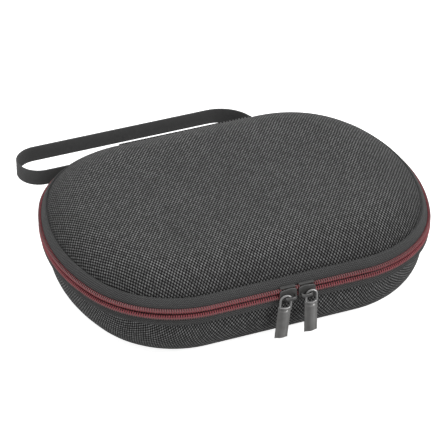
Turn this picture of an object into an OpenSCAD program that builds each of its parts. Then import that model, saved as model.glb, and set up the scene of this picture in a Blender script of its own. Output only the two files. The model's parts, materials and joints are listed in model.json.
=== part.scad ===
// Hard-shell headphone carrying case: two moulded halves joined by a fabric
// hinge and a two-slider coil zip, with a net pocket in the lid and a wrist loop.
//
// Frame: +X to the right, +Y to the back (the hinge side), +Z up.
// Origin: centre of the underside. Millimetres.

/* [Case] */
// Length of the closed case, measured across the zip
case_length = 210; // [204:1:218]
// Depth of the closed case, from the hinge to the front
case_depth = 158; // [154:1:160]
// Height from the underside to the zip
base_height = 35; // [34:1:40]
// Height from the zip to the top of the lid
lid_height = 18; // [18:1:24]
// Radius that rounds the base's walls into its underside
base_shoulder = 21; // [18:1:23]

/* [Laminate] */
// Thickness of the woven outer cover
cover_thickness = 0.8; // [0.6:0.1:1]
// Thickness of the moulded foam
foam_thickness = 3.6; // [3:0.1:4]
// Thickness of the inner lining
lining_thickness = 0.5; // [0.4:0.1:0.6]

/* [Zip] */
// Height of one half of the coil
coil_width = 2.6; // [2.4:0.1:2.8]
// Length of a slider body
slider_length = 9.6; // [9:0.1:10]
// Place along the front where the two slider noses meet
meeting_x = 3.6; // [0:0.1:8]
// Length of a pull, from the top of its eye to its end
pull_length = 26.8; // [24:0.1:28]
// Width of a pull
pull_width = 7.2; // [6.8:0.1:7.6]
// Sideways hang of the left pull at rest, in degrees
pull_left_tilt = 6; // [0:1:12]
// Sideways hang of the right pull at rest, in degrees
pull_right_tilt = 0; // [0:1:12]

/* [Wrist strap] */
// Width of the webbing
strap_width = 9.5; // [8:0.5:10]
// Thickness of the webbing
strap_thickness = 1.1; // [0.9:0.1:1.2]
// Place of the strap's root along the back
strap_root_x = 50; // [44:0.5:52]
// Reach of the loop to the left of its root
strap_reach = 140; // [110:0.5:142]
// Width of the loop between its two arms
strap_gap = 25.5; // [20:0.5:28]

/* [Hidden] */
$fn = 96;
LAYER_GAP = 0.05;   // laminated layers are kept this far apart
half_length = case_length / 2;
half_depth = case_depth / 2;
zip_z = base_height;

// Plan outline: straight front and back, corner arcs, and wide end arcs. Neighbouring
// arcs are tangent where the line through their centres, of slope 5 in 12, meets them,
// so every centre, radius and seam is a round number.
bow = 4;
corner_y = 5 * bow;
corner_r = half_depth - corner_y;
end_r = corner_r + 13 * bow;
end_x = half_length - end_r;
straight_half = end_x + 12 * bow;
seam = [12, 5];

// Insets of the walls from the plan outline, and the rim heights from the zip.
lid_inset = 4.5;
base_inset = 4;
rim_height = 4.6;

// A wall turns into the top along two tangent arcs, a tight one and a wide one. They meet
// where the line through their centres, of slope 4 in 3, crosses them.
lid_radii = [6, 41];
base_radii = [base_shoulder, base_shoulder];
knee = [3, 4];
foam_start = cover_thickness + LAYER_GAP;
laminate = foam_start + foam_thickness + LAYER_GAP + lining_thickness;

// Binding over the cut edges: its inner face is this far inside the outer skin.
binding_sheet = 0.6;
binding_depth = laminate + LAYER_GAP + binding_sheet;
binding_margin = 0.8;
lid_thread_z = 6.4;
base_thread_z = 17.5;
thread_r = 0.25;
thread_gap = 0.02;

// Zip section: coils in front, tapes behind them, and a slot between the halves.
zip_slot_half = 0.45;
coil_depth = 1.6;
tape_inset = 1.75;
tape_thickness = 0.75;

// Hinge fabrics fill the straight back between the two zip stops.
stop_length = 1.8;
stop_height = 3.2;
stop_gap = 0.4;
stop_drop = 0.2;
stop_proud = 0.25;
hinge_half = straight_half - stop_length - stop_gap - 0.3;
hinge_gap = 0.15;
hinge_sheet = 0.8;
hinge_bend_inset = 0.2;
hinge_lining_sheet = 0.6;
lining_bend = [1.4, 0.3];
lining_turn_z = 3.5;
glue_gap = 0.15;

// Slider section, measured outwards from the plan outline.
plate_back = 0.25;
plate_thickness = 1.2;
plate_front = plate_back + plate_thickness;
flange_thickness = 1;
channel_half = zip_slot_half + coil_width + 0.2;
flange_back = 1.45;
slider_step = 0.6;
back_plate_inset = tape_inset + tape_thickness + 0.15;
back_plate_thickness = 1.1;
plate_round = 1.8;
back_round = 1.6;
post_half = 0.32;
post_x = 1.4;
post_length = 3;
weld = 0.2;
bridge_gap = 1.9;
bridge_thickness = 1;
bridge_half = 0.95;
leg_r = 0.75;
leg_x = -1.9;
leg_z = -1.3;
nose_leg_x = 3.4;
slider_gap = 0.8;
slider_left_x = meeting_x - slider_gap / 2 - slider_length / 2;
slider_right_x = meeting_x + slider_gap / 2 + slider_length / 2;

// Pull section.
eye_r = 2.3;
eye_thickness = 1.3;
eye_height = 8.3;
pull_back = plate_front + 0.3;
pull_crown = 0.8;
pull_thickness = 1.6;
eye_drop = eye_r - leg_r - LAYER_GAP;

// Wrist strap: its webbing stands on edge below the zip.
strap_top = zip_z - 8;
strap_bottom = strap_top - strap_width;
strap_root_y = half_depth + 1;
strap_inner_y = half_depth + 11;
strap_root_r = strap_thickness + LAYER_GAP / 2;
strap_inner_bend = 3;
strap_outer_bend = 22;
anchor_half = 3;
anchor_gap = 0.15;

// Net pocket: a sheet across the rear part of the lid, this far above the zip.
pocket_rise = 7.6;
pocket_z = zip_z + pocket_rise;
pocket_front_y = -14;
pocket_sheet = 0.5;
pocket_elastic = 7;
elastic_thickness = 0.9;
pocket_gap = 0.2;
pocket_inset = skin_inset(lid_inset, lid_radii, lid_height, laminate, pocket_rise + elastic_thickness)
    + pocket_gap;

// ---------------------------------------------------------------- sweeping

// Carries a section round the plan outline. The section's x is the distance
// outwards from the outline, so it is negative inside, and its y is the height.
module around(back = true) {
    for (left = [0, 1])
        mirror([left, 0, 0]) {
            end_arc() children();
            for (front = [0, 1]) mirror([0, front, 0]) corner_arc() children();
        }
    straight(-90) children();
    if (back) straight(90) children();
}

// The wide arc at the +X end.
module end_arc() {
    reach = 15;
    translate([end_x, 0, 0])
        intersection() {
            rotate_extrude(angle = 180, start = -90) translate([end_r, 0]) children();
            linear_extrude(case_depth, center = true)
                polygon([[0, 0], reach * seam, [reach * seam[0], -reach * seam[1]]]);
        }
}

// The corner arc at +X and +Y, from the seam with the end arc to the straight.
module corner_arc() {
    reach = 10;
    translate([straight_half, corner_y, 0])
        difference() {
            rotate_extrude(angle = 90) translate([corner_r, 0]) children();
            linear_extrude(case_depth, center = true)
                polygon([-seam, reach * seam, [reach * seam[0], -seam[1]]]);
        }
}

// A straight side whose outward normal points along the given angle.
module straight(outward, half = straight_half) {
    rotate([0, 0, outward])
        translate([half_depth, half, 0])
            rotate([90, 0, 0]) linear_extrude(2 * half) children();
}

// ---------------------------------------------------------------- moulded layers

// Centres of a half's two arcs, as [outwards, height above the zip].
function tight_centre(inset, radii, top) =
    [-inset - radii[0], top - radii[1] + (radii[1] - radii[0]) * knee[1] / 5];
function wide_centre(inset, radii, top) =
    tight_centre(inset, radii, top) - (radii[1] - radii[0]) * knee / 5;

// Distance inside the outline, at a height above the zip, of a face at a depth below the skin:
// on the wall, on the tight arc or on the wide one.
function skin_inset(inset, radii, top, depth, height) =
    let (
        tight = tight_centre(inset, radii, top),
        wide = wide_centre(inset, radii, top),
        r = max(0, radii[0] - depth)
    )
    height <= tight[1] ? inset + depth :
    height <= tight[1] + r * knee[1] / 5 ? -tight[0] - sqrt(r * r - pow(height - tight[1], 2)) :
    -wide[0] - sqrt(pow(radii[1] - depth, 2) - pow(height - wide[1], 2));

// Section of a sheet between two depths below a half's outer skin: a wall, two arcs
// and a flat top, seen with the top up.
module skin(inset, radii, top, outer, inner) {
    tight = tight_centre(inset, radii, top);
    wide = wide_centre(inset, radii, top);
    depth = corner_r - 1;
    far = 20 * knee;
    translate([-inset - inner, rim_height]) square([inner - outer, tight[1] - rim_height]);
    translate(tight) ring_sector(radii[0], outer, inner, [[0, 0], [far[0], 0], far]);
    translate(wide) ring_sector(radii[1], outer, inner, [[0, 0], far, [0, far[1]]]);
    translate([-depth, top - inner]) square([depth + wide[0], inner - outer]);
}

module ring_sector(r, outer, inner, wedge) {
    intersection() {
        difference() {
            circle(r - outer);
            circle(r - inner);
        }
        polygon(wedge);
    }
}

module layer(inset, radii, top, outer, inner) {
    around() skin(inset, radii, top, outer, inner);
    translate([0, 0, top - inner]) middle(inner - outer);
}

// The flat area inside the sweeps, which overlaps them a little.
module middle(thickness) {
    plate = 2 * [end_x + 13 * bow + 2, corner_y + 2];
    translate([-plate[0] / 2, -plate[1] / 2, 0]) cube([plate[0], plate[1], thickness]);
}

// Layers between two depths, standing on the lid's side of the zip or hanging on the base's.
module lid_layer(outer, inner) on_lid() layer(lid_inset, lid_radii, lid_height, outer, inner);
module base_layer(outer, inner) on_base() layer(base_inset, base_radii, base_height, outer, inner);
module on_lid() translate([0, 0, zip_z]) children();
module on_base() translate([0, 0, zip_z]) mirror([0, 0, 1]) children();

// ---------------------------------------------------------------- rims and zip

// Folded tape over the cut edge of a half, and up its inner face to just past its thread.
module binding(inset, radii, top, thread_z) {
    edge = rim_height - 0.1 - binding_sheet;
    around() {
        translate([-inset - binding_depth, edge]) square([binding_depth - 0.1, binding_sheet]);
        translate([-inset - binding_depth, edge]) square([binding_sheet, rim_height - edge]);
        intersection() {
            skin(inset, radii, top, binding_depth - binding_sheet, binding_depth);
            translate([-half_depth, 0]) square([half_depth, thread_z + binding_margin]);
        }
    }
}

// The thread that sews a binding, laid along its inner face at the given height.
module seam_thread(inset, radii, top, thread_z) {
    x = skin_inset(inset, radii, top, binding_depth + thread_r + thread_gap, thread_z);
    around() translate([-x, thread_z]) circle(thread_r);
}

// Half of the coil, as the envelope of its loops.
module zip_coil() {
    around(back = false)
        translate([-coil_depth, zip_slot_half]) square([coil_depth, coil_width]);
}

// Tape of the lid: rises behind the coil and leans in over the lid's wall.
module lid_tape_section() {
    t = tape_thickness;
    polygon([
        [-tape_inset, zip_slot_half], [-tape_inset, 3.4], [-2.1, 4.8], [-2.8, 6.2], [-3.9, 7.5],
        [-4.6, 7], [-3.7, 5.8], [-3, 4.5], [-tape_inset - t, 3.6], [-tape_inset - t, zip_slot_half]
    ]);
}

// Tape of the base, drawn upwards: it flares outwards and folds back to the wall.
module base_tape_section() {
    t = tape_thickness;
    polygon([
        [-tape_inset, zip_slot_half], [-tape_inset, 3.4], [-1.6, 4.4], [-0.9, 5.4], [-0.5, 6.2],
        [-0.9, 7], [-3.9, 8], [-3.9, 7], [-2.6, 5.8], [-tape_inset - t, 3.6],
        [-tape_inset - t, zip_slot_half]
    ]);
}

// ---------------------------------------------------------------- hinge

// Outer fabric of the hinge: from the bend line to a knee on the wall, and up the wall to its
// end, where it follows the skin.
module hinge_panel(inset, radii, top, knee_z, end_z) {
    s = hinge_sheet;
    wall = inset - glue_gap;
    end = skin_inset(inset, radii, top, 0, end_z) - glue_gap;
    straight(90, hinge_half)
        polygon([
            [-hinge_bend_inset, hinge_gap], [-wall + s, knee_z], [-end + s, end_z],
            [-end, end_z], [-wall, knee_z - s / 2], [-hinge_bend_inset - s, hinge_gap]
        ]);
}

// Inner fabric of the hinge, from the bend line over the rim and along the binding.
module hinge_lining(inset, end_z) {
    s = hinge_lining_sheet;
    wall = inset + binding_depth + glue_gap;
    straight(90, hinge_half)
        polygon([
            [-lining_bend[0], lining_bend[1]], [-wall, lining_turn_z], [-wall, end_z],
            [-wall - s, end_z], [-wall - s, lining_turn_z - s],
            [-lining_bend[0] - s - 0.2, lining_bend[1]]
        ]);
}

// A clamp across the end of the base's coil.
module zip_stop(side) {
    start = side > 0 ? hinge_half + stop_gap : -hinge_half - stop_gap - stop_length;
    translate([start, half_depth - tape_inset + LAYER_GAP, zip_z - stop_height - stop_drop])
        cube([stop_length, tape_inset + stop_proud, stop_height]);
}

// ---------------------------------------------------------------- lid pocket

// Plan area inside the outline, as a plate of the given thickness.
module plan_plate(inset, thickness) {
    depth = corner_r - 1;
    around() translate([-depth, 0]) square([depth - inset, thickness]);
    middle(thickness);
}

module pocket_part(from_y, to_y, height, z) {
    intersection() {
        translate([0, 0, z]) plan_plate(pocket_inset, height);
        translate([-half_length, from_y, z - 1]) cube([case_length, to_y - from_y, height + 2]);
    }
}

module pocket_net() {
    color("dimgray")
        pocket_part(pocket_front_y + pocket_elastic + 0.1, half_depth, pocket_sheet, pocket_z);
}

module pocket_elastic_edge() {
    color("#2b2b2d")
        pocket_part(pocket_front_y, pocket_front_y + pocket_elastic, elastic_thickness, pocket_z);
}

// ---------------------------------------------------------------- sliders

// A slider, with x towards its nose, y outwards from the case and z up.
// The origin is on the zip line, at the middle of the slider.
module slider() {
    half = slider_length / 2;
    outer_half = channel_half + flange_thickness;
    translate([0, plate_back, 0])
        rounded_plate(slider_length, 2 * outer_half, plate_thickness, plate_round);
    for (z = [channel_half, -outer_half])
        translate([slider_step - half, -flange_back, z])
            cube([slider_length - 2 * slider_step, plate_back + flange_back, flange_thickness]);
    translate([0, -back_plate_inset - back_plate_thickness, 0])
        rounded_plate(
            slider_length - slider_step, 2 * (channel_half + weld), back_plate_thickness, back_round
        );
    // post between the two plates, which parts the coils
    translate([post_x, -back_plate_inset - weld, -post_half])
        cube([post_length, back_plate_inset + plate_back + 2 * weld, 2 * post_half]);
    bridge();
}

// A plate in the x-z plane with round corners, from y = 0 to its thickness.
module rounded_plate(length, height, thickness, r) {
    rotate([90, 0, 0]) translate([0, 0, -thickness]) linear_extrude(thickness) {
        square([length - 2 * r, height], center = true);
        square([length, height - 2 * r], center = true);
        for (x = [-1, 1], z = [-1, 1])
            translate([x * (length / 2 - r), z * (height / 2 - r)]) circle(r);
    }
}

// The bridge over the front plate: the pull's eye hangs on its round rear leg.
module bridge() {
    reach = bridge_gap + bridge_thickness / 2;
    bar_y = plate_front + bridge_gap;
    for (leg = [[leg_x, leg_r], [nose_leg_x, bridge_half]])
        translate([leg[0], plate_front - weld, leg_z])
            rotate([-90, 0, 0]) cylinder(r = leg[1], h = reach + weld);
    translate([leg_x, bar_y, leg_z - bridge_half])
        cube([nose_leg_x - leg_x, bridge_thickness, 2 * bridge_half]);
    for (x = [leg_x, nose_leg_x])
        translate([x, bar_y, leg_z])
            rotate([-90, 0, 0]) cylinder(r = bridge_half, h = bridge_thickness);
}

// A pull, in the slider's axes, with its origin on the axis of the leg it hangs on.
module pull() {
    half = pull_width / 2;
    top = half - eye_drop;
    plate_top = top - eye_height;
    plate_length = pull_length - eye_height;
    crown_r = (pow(half, 2) + pow(pull_crown, 2)) / (2 * pull_crown);
    // eye
    difference() {
        union() {
            translate([0, pull_back, -eye_drop])
                rotate([-90, 0, 0]) cylinder(r = half, h = eye_thickness);
            translate([-half, pull_back, plate_top - 0.5])
                cube([pull_width, eye_thickness, -eye_drop - plate_top + 0.5]);
        }
        translate([0, pull_back - 1, -eye_drop])
            rotate([-90, 0, 0]) cylinder(r = eye_r, h = eye_thickness + 2);
        translate([-eye_r, pull_back - 1, plate_top + 1.4])
            cube([2 * eye_r, eye_thickness + 2, -eye_drop - plate_top - 1.4]);
    }
    // plate, with a front face crowned across its width
    intersection() {
        translate([-half, pull_back, plate_top - plate_length])
            cube([pull_width, 2 * pull_thickness, plate_length]);
        translate([0, pull_back + pull_thickness - crown_r, plate_top - plate_length - 1])
            cylinder(r = crown_r, h = plate_length + 2);
    }
}

module place_left() translate([slider_left_x, -half_depth, zip_z]) mirror([0, 1, 0]) children();
module place_right() translate([slider_right_x, -half_depth, zip_z]) rotate([0, 0, 180]) children();
module hang(tilt) translate([leg_x, 0, leg_z]) rotate([0, tilt, 0]) children();

// ---------------------------------------------------------------- wrist strap

// A straight or curved run of webbing standing on edge.
module run(from, to) {
    along = to - from;
    translate([from[0], from[1], strap_bottom])
        rotate([0, 0, atan2(along[1], along[0])])
            translate([0, -strap_thickness / 2, 0])
                cube([norm(along), strap_thickness, strap_width]);
}

module bend(centre, r, from, angle) {
    translate([centre[0], centre[1], strap_bottom])
        rotate([0, 0, from])
            rotate_extrude(angle = angle)
                translate([r - strap_thickness / 2, 0]) square([strap_thickness, strap_width]);
}

module wrist_strap() {
    outer_x = strap_root_x + strap_root_r / 2;
    inner_x = strap_root_x - strap_root_r / 2;
    tip_r = strap_gap / 2;
    tip = [strap_root_x - strap_reach + tip_r, strap_inner_y + tip_r];
    outer_y = strap_inner_y + strap_gap;
    inner_turn = [inner_x - strap_inner_bend, strap_inner_y - strap_inner_bend];
    outer_turn = [outer_x - strap_outer_bend, outer_y - strap_outer_bend];
    color("#37373a") {
        // stitched root, with both plies side by side and round at the fold
        translate([strap_root_x, strap_root_y, strap_bottom])
            cylinder(r = strap_root_r, h = strap_width);
        translate([strap_root_x - strap_root_r, strap_root_y, strap_bottom])
            cube([2 * strap_root_r, inner_turn[1] - strap_root_y, strap_width]);
        bend(inner_turn, strap_inner_bend, 0, 90);
        run([inner_turn[0], strap_inner_y], [tip[0], strap_inner_y]);
        bend(tip, tip_r, 90, 180);
        run([tip[0], outer_y], [outer_turn[0], outer_y]);
        bend(outer_turn, strap_outer_bend, 0, 90);
        run([outer_x, outer_turn[1]], [outer_x, inner_turn[1] - 0.5]);
    }
}

// A folded tab, sewn on the base's wall, that the strap's root bends on.
module strap_anchor() {
    beside = max(0, strap_root_x - anchor_half - straight_half);
    wall_y = corner_y + sqrt(pow(corner_r - base_inset, 2) - pow(beside, 2));
    back = wall_y + anchor_gap;
    front = strap_root_y - strap_root_r - anchor_gap;
    color("#2f2f31")
        translate([strap_root_x - anchor_half, back, strap_bottom - 0.5])
            cube([2 * anchor_half, front - back, strap_width + 0.5]);
}

// ---------------------------------------------------------------- nodes

COVER = "#3b3b3d";
FOAM = "#1c1c1d";
LINING = "#2a2a2c";
TAPE = "#4b4b4c";
THREAD = "#5e5e60";
COIL = "#a8383f";
METAL = "#5c5c5e";

module base_cover() color(COVER) base_layer(0, cover_thickness);
module base_foam() color(FOAM) base_layer(foam_start, foam_start + foam_thickness);
module base_lining() color(LINING) base_layer(laminate - lining_thickness, laminate);
module lid_cover() color(COVER) lid_layer(0, cover_thickness);
module lid_foam() color(FOAM) lid_layer(foam_start, foam_start + foam_thickness);
module lid_lining() color(LINING) lid_layer(laminate - lining_thickness, laminate);

module base_binding()
    color(TAPE) on_base() binding(base_inset, base_radii, base_height, base_thread_z);
module lid_binding()
    color(TAPE) on_lid() binding(lid_inset, lid_radii, lid_height, lid_thread_z);
module base_seam_thread()
    color(THREAD) on_base() seam_thread(base_inset, base_radii, base_height, base_thread_z);
module lid_seam_thread()
    color(THREAD) on_lid() seam_thread(lid_inset, lid_radii, lid_height, lid_thread_z);

module base_zip_tape() color(TAPE) on_base() around(back = false) base_tape_section();
module lid_zip_tape() color(TAPE) on_lid() around(back = false) lid_tape_section();
module base_zip_coil() color(COIL) on_base() zip_coil();
module lid_zip_coil() color(COIL) on_lid() zip_coil();

module base_hinge_panel()
    color(COVER) on_base() hinge_panel(base_inset, base_radii, base_height, 8.6, 14);
module lid_hinge_panel()
    color(COVER) on_lid() hinge_panel(lid_inset, lid_radii, lid_height, 5.6, 7.2);
module base_hinge_lining() color(LINING) on_base() hinge_lining(base_inset, 6);
module lid_hinge_lining() color(LINING) on_lid() hinge_lining(lid_inset, 4.9);

module zip_stop_left() color(METAL) zip_stop(-1);
module zip_stop_right() color(METAL) zip_stop(1);
module slider_left() color(METAL) place_left() slider();
module slider_right() color(METAL) place_right() slider();
module pull_left() color(METAL) place_left() hang(pull_left_tilt) pull();
module pull_right() color(METAL) place_right() hang(pull_right_tilt) pull();

base_cover();
base_foam();
base_lining();
base_binding();
base_seam_thread();
base_zip_tape();
base_zip_coil();
base_hinge_panel();
base_hinge_lining();
zip_stop_left();
zip_stop_right();
strap_anchor();
lid_cover();
lid_foam();
lid_lining();
lid_binding();
lid_seam_thread();
lid_zip_tape();
lid_zip_coil();
lid_hinge_panel();
lid_hinge_lining();
pocket_net();
pocket_elastic_edge();
slider_left();
slider_right();
pull_left();
pull_right();
wrist_strap();
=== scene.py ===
"""Looks of a hard-shell headphone case: woven covers, coil zip, sliders, wrist loop and lining."""

import json
import math

import bmesh
import bpy
import numpy as np
from mathutils import Matrix, Vector

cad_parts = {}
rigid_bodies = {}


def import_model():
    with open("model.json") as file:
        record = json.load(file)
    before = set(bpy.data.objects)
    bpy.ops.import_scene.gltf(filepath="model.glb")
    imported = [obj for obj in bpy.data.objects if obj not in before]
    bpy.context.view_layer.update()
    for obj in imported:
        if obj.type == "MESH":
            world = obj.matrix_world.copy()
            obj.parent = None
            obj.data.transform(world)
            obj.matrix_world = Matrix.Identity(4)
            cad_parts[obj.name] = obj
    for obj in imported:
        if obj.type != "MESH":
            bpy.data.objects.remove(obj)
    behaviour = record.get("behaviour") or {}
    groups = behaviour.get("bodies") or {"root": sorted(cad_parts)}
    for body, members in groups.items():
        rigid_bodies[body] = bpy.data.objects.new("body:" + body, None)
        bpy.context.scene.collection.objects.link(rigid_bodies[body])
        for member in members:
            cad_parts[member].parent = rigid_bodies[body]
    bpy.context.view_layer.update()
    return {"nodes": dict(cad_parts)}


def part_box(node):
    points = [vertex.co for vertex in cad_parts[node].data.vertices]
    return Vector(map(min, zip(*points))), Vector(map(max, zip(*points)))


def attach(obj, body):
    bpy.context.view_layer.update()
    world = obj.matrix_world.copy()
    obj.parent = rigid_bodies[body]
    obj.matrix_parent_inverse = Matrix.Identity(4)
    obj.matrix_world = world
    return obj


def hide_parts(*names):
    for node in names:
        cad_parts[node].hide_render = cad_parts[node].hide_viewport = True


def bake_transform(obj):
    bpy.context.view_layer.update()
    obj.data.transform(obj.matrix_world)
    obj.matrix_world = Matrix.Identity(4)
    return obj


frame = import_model()

# ---------------------------------------------------------------- sizes, in millimetres

MM = 0.001
HALF_TURN = math.pi


def low(node):
    """The low corner of a CAD node's box."""
    return np.array(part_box(node)[0]) / MM


def high(node):
    """The high corner of a CAD node's box."""
    return np.array(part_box(node)[1]) / MM


HALF_LENGTH = float(round(high("base_zip_coil")[0]))
HALF_DEPTH = float(round(-low("base_zip_coil")[1]))
ZIP_Z = float((low("lid_zip_coil")[2] + high("base_zip_coil")[2]) / 2)
RIM = float(low("lid_cover")[2]) - ZIP_Z

# Layers of each half from the outside in, and the gap between two layers.
COVER, FOAM, LINING, GAP = 0.8, 3.6, 0.5, 0.05
FOAM_START = COVER + GAP
LINING_START = FOAM_START + FOAM + GAP
LAMINATE = LINING_START + LINING

# Coil: the pitch along the zip, and the nearest and farthest a row's loops come to the zip's middle.
COIL_PITCH = 1.27
COIL_LOW, COIL_HIGH = 0.55, 2.75

# Plan outline: straight front and back, corner arcs, and wide end arcs tangent to them.
BOW = 4.0
CORNER_Y = 5 * BOW
CORNER_R = HALF_DEPTH - CORNER_Y
END_R = CORNER_R + 13 * BOW
END_X = HALF_LENGTH - END_R
STRAIGHT = END_X + 12 * BOW
SEAM = math.atan2(5, 12)

# ---------------------------------------------------------------- plan outline


def arc(cx, cy, r, start, end):
    """An arc's length, and a function from 0..1 to its point and outward normal."""

    def at(t):
        angle = start + (end - start) * t
        normal = np.array([math.cos(angle), math.sin(angle)])
        return np.array([cx, cy]) + r * normal, normal

    return abs(end - start) * r, at


def line(a, b, normal):
    """A straight run's length, and a function from 0..1 to its point and outward normal."""
    a, b, normal = np.array(a), np.array(b), np.array(normal)

    def at(t):
        return a + (b - a) * t, normal

    return float(np.linalg.norm(b - a)), at


SEGMENTS = [
    arc(STRAIGHT, CORNER_Y, CORNER_R, HALF_TURN / 2, SEAM),
    arc(END_X, 0, END_R, SEAM, -SEAM),
    arc(STRAIGHT, -CORNER_Y, CORNER_R, -SEAM, -HALF_TURN / 2),
    line([STRAIGHT, -HALF_DEPTH], [-STRAIGHT, -HALF_DEPTH], [0.0, -1.0]),
    arc(-STRAIGHT, -CORNER_Y, CORNER_R, -HALF_TURN / 2, SEAM - HALF_TURN),
    arc(-END_X, 0, END_R, SEAM - HALF_TURN, -SEAM - HALF_TURN),
    arc(-STRAIGHT, CORNER_Y, CORNER_R, -SEAM - HALF_TURN, -1.5 * HALF_TURN),
    line([-STRAIGHT, HALF_DEPTH], [STRAIGHT, HALF_DEPTH], [0.0, 1.0]),
]
ZIP_LENGTH = sum(length for length, _ in SEGMENTS[:-1])
LOOPS = int(ZIP_LENGTH / COIL_PITCH)  # in each row of the coil
AROUND = ZIP_LENGTH + SEGMENTS[-1][0]


def outline_at(s):
    """Point and outward normal at a distance s clockwise along the outline from the back's right."""
    for length, at in SEGMENTS:
        if s <= length:
            return at(s / length)
        s -= length
    return SEGMENTS[-1][1](1.0)


def stations(step, past=None):
    """Points, normals and distances along the outline, with a station at each segment's ends.

    With past given it follows the zip only, and goes on past each end of it by that length.
    """
    points, normals, distances, start = [], [], [], 0.0
    for length, at in SEGMENTS if past is None else SEGMENTS[:-1]:
        count = math.ceil(length / step)
        for i in range(count):
            p, n = at(i / count)
            points.append(p)
            normals.append(n)
            distances.append(start + length * i / count)
        start += length
    if past is not None:
        end = (past - STRAIGHT, HALF_DEPTH)
        points = [(-end[0], end[1]), *points, (-STRAIGHT, HALF_DEPTH), end]
        normals = [normals[0], *normals, normals[0], normals[0]]
        distances = [-past, *distances, start, start + past]
    return np.array(points), np.array(normals), np.array(distances)


# ---------------------------------------------------------------- mesh helpers


def make(name, vertices, faces, material, uv):
    """A mesh object from vertices in millimetres. uv gives one pair per vertex, in millimetres."""
    mesh = bpy.data.meshes.new(name)
    mesh.from_pydata([tuple(v) for v in np.asarray(vertices) * MM], [], [list(map(int, f)) for f in faces])
    layer = mesh.uv_layers.new(name="weave")
    corners = np.zeros(len(mesh.loops), np.int32)
    mesh.loops.foreach_get("vertex_index", corners)
    layer.data.foreach_set("uv", np.asarray(uv, np.float32)[corners].ravel())
    tidy(mesh)
    mesh.polygons.foreach_set("use_smooth", [True] * len(mesh.polygons))
    obj = bpy.data.objects.new(name, mesh)
    bpy.context.scene.collection.objects.link(obj)
    mesh.materials.append(material)
    return obj


def tidy(mesh):
    """Merges doubled points and turns the faces outwards."""
    bm = bmesh.new()
    bm.from_mesh(mesh)
    bmesh.ops.remove_doubles(bm, verts=bm.verts, dist=0.002 * MM)
    bmesh.ops.recalc_face_normals(bm, faces=bm.faces)
    bm.to_mesh(mesh)
    bm.free()


def grid_faces(rows, columns, wrap_rows, wrap_columns):
    """Quads over a grid of rows x columns vertices, numbered row by row."""
    faces = []
    for i in range(rows if wrap_rows else rows - 1):
        a, b = i * columns, (i + 1) % rows * columns
        for j in range(columns if wrap_columns else columns - 1):
            k = (j + 1) % columns
            faces.append((a + j, b + j, b + k, a + k))
    return faces


def end_caps(total, ring):
    """The two end faces of a grid of total vertices whose rows are closed rings."""
    return [list(range(ring)), [total - 1 - j for j in range(ring)]]


def grid_rim(rows, columns):
    """The border vertices of a grid, in order round it."""
    index = np.arange(rows * columns).reshape(rows, columns)
    return [*index[0], *index[1:, -1], *index[-1, -2::-1], *index[-2:0:-1, 0]]


def curve(cx, cy, r, start, end, steps):
    """Points on an arc, its angles in degrees."""
    angles = np.radians(np.linspace(start, end, steps))
    return [(cx + r * math.cos(a), cy + r * math.sin(a)) for a in angles]


def smooth_loop(points, rounds=2):
    """Rounds a closed polygon by cutting its corners."""
    points = np.asarray(points, float)
    for _ in range(rounds):
        ahead = np.roll(points, -1, axis=0)
        points = np.stack([0.75 * points + 0.25 * ahead, 0.25 * points + 0.75 * ahead], 1).reshape(-1, 2)
    return points


def swept_loop(half, name, profile, material, step, past=None, replaced=()):
    """Carries a closed profile of (outward, height from the zip) round a half of the case.

    With past given it follows the zip only, and goes on past each end of it by that length.
    """
    points, normals, distances = stations(step, past)
    profile = np.asarray(profile, float)
    girth = np.r_[0, np.cumsum(np.linalg.norm(np.diff(profile, axis=0), axis=1))]
    vertices, uv = [], []
    for p, n, s in zip(points, normals, distances):
        for (out, rise), g in zip(profile, girth):
            x, y = p + out * n
            vertices.append((x, y, ZIP_Z + half.up * rise))
            uv.append((s, g))
    count = len(profile)
    faces = grid_faces(len(points), count, past is None, True)
    if past is not None:
        faces += end_caps(len(vertices), count)
    piece = make(half.name + name, vertices, faces, material, uv)
    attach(piece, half.name)
    if replaced:
        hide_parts(*replaced)


def tube(path, half_width, half_height, side, sides=8):
    """Vertices and faces of a capped oval tube along path. half_width lies along side."""
    path = np.asarray(path, float)
    ahead = np.gradient(path, axis=0)
    ahead /= np.linalg.norm(ahead, axis=1)[:, None]
    side = np.asarray(side, float)
    across = side - (ahead @ side)[:, None] * ahead
    across /= np.linalg.norm(across, axis=1)[:, None]
    lift = np.cross(ahead, across)
    angles = np.arange(sides) * 2 * math.pi / sides
    rings = (
        path[:, None, :]
        + half_width * np.cos(angles)[None, :, None] * across[:, None, :]
        + half_height * np.sin(angles)[None, :, None] * lift[:, None, :]
    )
    vertices = rings.reshape(-1, 3)
    return vertices, grid_faces(len(path), sides, False, True) + end_caps(len(vertices), sides)


class Parts:
    """Gathers several closed shells into one mesh."""

    def __init__(self):
        self.vertices, self.faces, self.uv = [], [], []

    def add(self, vertices, faces):
        start = len(self.vertices)
        self.vertices.extend(map(tuple, vertices))
        self.faces.extend([start + i for i in f] for f in faces)
        self.uv.extend((v[0], v[2]) for v in vertices)

    def build(self, name, material, slot):
        return make(name, self.vertices, self.faces, material, self.uv)


# ---------------------------------------------------------------- materials


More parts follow.
